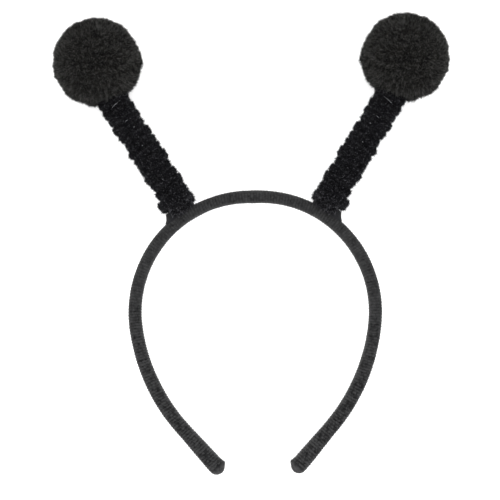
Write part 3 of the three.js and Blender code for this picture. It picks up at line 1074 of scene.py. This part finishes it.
def makePompom(lump, pile):
    clearance = stalk["clearance"]
    centre = antennaPlaced([-stalk["pompomShift"], stalk["reach"], 0])
    piece = softFacetedBall("pompom_fibre_left", centre, (pompomRadius - pompom["pileDepth"]) * mm)
    growLumps(piece, lump, pompom, looks["pompom"])
    seatRadius = stalk["radius"] * windingSwell[-1]["swell"] + clearance
    cutAway(piece, [
        rod("seat", seatRadius, coilTop + clearance),
        rod("bore", stalk["coreRadius"] + clearance, pompomUnderside + pompom["coreSink"] + clearance),
    ])
    origin = antennaPlaced([0, 0, 0])
    axis = (antennaPlaced([0, 1, 0]) - origin) / mm
    offsets = vertexPlaces(piece.data) - origin
    heights = offsets @ axis
    fromAxis = np.linalg.norm(offsets - heights[:, None] * axis, axis=1)
    inSeat = (fromAxis < seatRadius * mm * pompom["seatMargin"]) & (heights < stalk["reach"] * mm)
    setAttribute(piece.data, "cover", ~inSeat)
    smooth(piece.data)
    growPile(piece, pile, pompom, looks["pompom"])
    restOnFloor(piece)
    finishBoth(piece, "pompom_fibre", "pompom_fibre", "pompom")


# The cloth boss under a stalk: it hugs the hoop, rises in a hollow curve to the stalk's foot
# and is bedded under the first winding
def makeFoot():
    half = foot["width"] / 2
    faceRadius = hoop["crownRadius"] + bandFace
    place = np.linspace(-1, 1, foot["sections"])
    flare = np.where(place < 0, foot["flareInside"], foot["flareOutside"])
    run = (half + flare) * np.sin(place * math.pi / 2)
    climb = np.clip((half + flare - np.abs(run)) / flare, 0, 1)
    lift = foot["hem"] + (stalk["footHeight"] - foot["hem"]) * climb ** foot["hollow"]
    turnAlong = (run + foot["shift"]) / faceRadius
    depth = foot["depth"] / 2 * (foot["endDepth"] + (1 - foot["endDepth"]) * climb)
    arc = np.linspace(-1, 1, foot["arcSteps"])
    sideways = np.sin(arc * math.pi / 2)
    aside = sideways[None] * depth[:, None]
    square = band["squareness"]
    under = bandFace * (1 - np.abs(aside / (band["depth"] / 2)) ** (2 / square)) ** (square / 2)
    crown = (1 - np.abs(sideways) ** foot["crown"]) ** (1 / foot["crown"])
    low = under - bandFace + stalk["clearance"]
    high = low + foot["hem"] * foot["hemLip"] + lift[:, None] * crown[None]
    top = np.stack([faceRadius + high, aside], axis=-1)
    bottom = np.stack([faceRadius + low, aside], axis=-1)[:, ::-1]
    loop = np.concatenate([top, bottom], axis=1)
    angle = math.radians(stalk["station"] - stalk["lean"]) + turnAlong
    lean = math.radians(stalk["lean"])
    cosine, sine = math.cos(lean), math.sin(lean)
    flatHalf = hoop["crownFlat"] / 2
    centreX = -footPoint[0] * cosine + footPoint[1] * sine + flatHalf * cosine
    centreY = -footPoint[0] * sine - footPoint[1] * cosine + flatHalf * sine
    x = centreX + loop[..., 0] * np.sin(angle)[:, None]
    y = centreY + loop[..., 0] * np.cos(angle)[:, None]
    z = loop[..., 1]
    azimuth = np.degrees(np.arctan2(-z, -x)) % 360
    lead = chenille["leadTurns"]
    firstTurn = ((azimuth - stalk["windingStart"]) / 360 + lead) % 1 - lead
    bed = coilBottom + firstTurn * stalk["windingPitch"] - stalk["clearance"]
    isTop = np.arange(loop.shape[1]) < foot["arcSteps"]
    near = np.hypot(x, z) < stalk["radius"] * windingSwell[0]["swell"] + foot["bedMargin"]
    y = np.where(isTop[None] & near, np.minimum(y, bed), y)
    points = antennaPlaced(np.stack([x, y, z], axis=-1))
    girthAt = np.arange(loop.shape[1] + 1) * foot["threadStep"]
    mesh = loftedMesh("foot_cloth_left", points, run, girthAt)
    mesh.materials.append(looks["foot"])
    finishBoth(newObject(mesh.name, mesh), "foot_cloth", "foot_cloth", "foot")


# The stem's own twisted wire, where the pile is parted: middle of each bare stretch and its
# length, in turns round the post, and how far it stands out from the strand's centre
wire = {
    "radius": 0.04,
    "twist": 0.9,
    "stepsPerTurn": 160,
    "fewestSteps": 6,
    "sides": 7,
    "endDip": 0.35,
    "endSharpness": 6,
    "stretches": [
        {"middle": 12.09, "length": 0.15, "out": 1.0, "rise": 0.1, "tilt": 0.4},
        {"middle": 10.1, "length": 0.04, "out": 1.0, "rise": 0.0, "tilt": 0.1},
        {"middle": 9.13, "length": 0.02, "out": 1.0, "rise": 0.1, "tilt": 0.1},
        {"middle": 7.1, "length": 0.018, "out": 0.99, "rise": 0.0, "tilt": 0.0},
        {"middle": 3.09, "length": 0.015, "out": 0.99, "rise": 0.0, "tilt": 0.0},
    ],
}


def twistTree():
    tree, given = newTree("twistedPair", {
        "Wire radius": "Float",
        "Twist length": "Float",
        "Finish": "Material",
    })
    path = add(tree, "GeometryNodeMeshToCurve", {0: given["Geometry"]}).outputs[0]
    tangent = add(tree, "GeometryNodeInputTangent").outputs[0]
    normal = add(tree, "GeometryNodeInputNormal").outputs[0]
    binormal = vectorOf(tree, "CROSS_PRODUCT", tangent, normal)
    length = add(tree, "GeometryNodeSplineParameter").outputs["Length"]
    angle = times(tree, calculated(tree, "DIVIDE", length, given["Twist length"]), 2 * math.pi)
    section = add(tree, "GeometryNodeCurvePrimitiveCircle", {
        "Resolution": wire["sides"],
        "Radius": given["Wire radius"],
    }).outputs[0]
    both = add(tree, "GeometryNodeJoinGeometry")
    for phase in (0.0, math.pi):
        turned = plus(tree, angle, phase)
        sway = vectorOf(tree, "ADD", scaled(tree, normal, calculated(tree, "COSINE", turned)),
                        scaled(tree, binormal, calculated(tree, "SINE", turned)))
        shifted = add(tree, "GeometryNodeSetPosition", {
            "Geometry": path,
            "Offset": scaled(tree, sway, given["Wire radius"]),
        }).outputs[0]
        tube = add(tree, "GeometryNodeCurveToMesh", {0: shifted, "Profile Curve": section, "Fill Caps": True})
        tree.links.new(tube.outputs[0], both.inputs[0])
    endTree(tree, both.outputs[0], given["Finish"])
    return tree


def makeWire(twist):
    points = []
    edges = []
    for stretch in wire["stretches"]:
        steps = max(round(stretch["length"] * wire["stepsPerTurn"]), wire["fewestSteps"])
        along = np.linspace(-1, 1, steps + 1)
        turn = stretch["middle"] + along * stretch["length"] / 2
        centre, outward, halfReach = strandLine(turn)
        dip = wire["endDip"] * np.abs(along) ** wire["endSharpness"]
        depth = halfReach * stretch["out"] * (1 - dip)
        path = centre + outward * depth[:, None]
        path[:, 1] += stretch["rise"] + stretch["tilt"] * along
        first = len(points)
        points.extend(antennaPlaced(path).tolist())
        edges.extend((first + i, first + i + 1) for i in range(steps))
    mesh = bpy.data.meshes.new("stem_wire_left")
    mesh.from_pydata(points, edges, [])
    piece = grow(newObject(mesh.name, mesh), twist, {
        "Wire radius": wire["radius"] * mm,
        "Twist length": wire["twist"] * mm,
        "Finish": looks["wire"],
    })
    smooth(piece.data)
    finishBoth(piece, "stem_wire", "wire")


pile = pileTree()
lump = lumpTree()
twist = twistTree()
makeFoot()
makeChenille(lump, pile)
makeWire(twist)
makePompom(lump, pile)
for sideName in sides:
    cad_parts[f"stalk_core_{sideName}"].material_slots[0].material = looks["wire"]
print("antennae made")


# The floor, the light and the camera
studio = {
    "floorSize": 8000,
    "floorColour": (0.93, 0.93, 0.93, 1),
    "floorGlow": 0.25,
    "floorGloss": 0.1,
    "floorRoughness": 0.9,
    "grainScale": 40,
    "grainTone": 1.02,
    "skyStrength": 1.4,
    "skyEdge": 3.0,
    "skyFade": 2.5,
    "keyPower": 6,
    "keySize": 1500,
    "keyPlace": (-80, 120, 1500),
    "lens": 100,
    "sensor": 36,
    "photoMiddle": (-2.19, 32.02),
    "photoWidth": 257.5,
    "photoTurn": 0.95,
}


def makeStudio():
    half = studio["floorSize"] / 2 * mm
    mesh = bpy.data.meshes.new("floor")
    corners = [(-half, -half, 0), (half, -half, 0), (half, half, 0), (-half, half, 0)]
    mesh.from_pydata(corners, [], [(0, 1, 2, 3)])
    plaster, tree, shader = newMaterial("floorPaint", {
        "Specular IOR Level": studio["floorGloss"],
        "Roughness": studio["floorRoughness"],
        "Emission Color": (1, 1, 1, 1),
        "Emission Strength": studio["floorGlow"],
    })
    grain = noise(tree, studio["grainScale"], 2)
    colour = studio["floorColour"]
    lighter = tuple(min(channel * studio["grainTone"], 1) for channel in colour)
    tree.links.new(mixed(tree, grain, colour, lighter), shader.inputs["Base Color"])
    mesh.materials.append(plaster)
    newObject("floor", mesh)

    world = bpy.data.worlds.new("softbox")
    world.use_nodes = True
    background = world.node_tree.nodes["Background"]
    background.inputs["Color"].default_value = (1, 1, 1, 1)
    sky = world.node_tree
    place = add(sky, "ShaderNodeTexCoord").outputs["Generated"]
    up = add(sky, "ShaderNodeSeparateXYZ", {0: place}).outputs[2]
    level = minus(sky, 1.0, calculated(sky, "ABSOLUTE", up))
    low = calculated(sky, "POWER", level, studio["skyFade"])
    brighter = studio["skyEdge"] - studio["skyStrength"]
    strength = timesPlus(sky, low, brighter, studio["skyStrength"])
    sky.links.new(strength, background.inputs["Strength"])
    bpy.context.scene.world = world

    key = bpy.data.lights.new("keyLight", "AREA")
    key.energy = studio["keyPower"]
    key.size = studio["keySize"] * mm
    lamp = bpy.data.objects.new("keyLight", key)
    lamp.location = Vector(studio["keyPlace"]) * mm
    lamp.rotation_euler = (-lamp.location).to_track_quat("-Z", "Y").to_euler()
    bpy.context.scene.collection.objects.link(lamp)

    camera = bpy.data.cameras.new("camera")
    camera.lens = studio["lens"]
    camera.sensor_width = studio["sensor"]
    eye = bpy.data.objects.new("camera", camera)
    distance = studio["photoWidth"] * studio["lens"] / studio["sensor"]
    target = placed([*studio["photoMiddle"], 0])
    turn = math.radians(studio["photoTurn"])
    right = math.cos(turn) * across - math.sin(turn) * upwards
    above = math.sin(turn) * across + math.cos(turn) * upwards
    place = target + front * distance * mm
    eye.matrix_world = Matrix([right, above, front]).transposed().to_4x4()
    eye.location = place
    bpy.context.scene.collection.objects.link(eye)
    bpy.context.scene.camera = eye
    bpy.context.scene.view_settings.view_transform = "Standard"


makeStudio()
print("studio made")
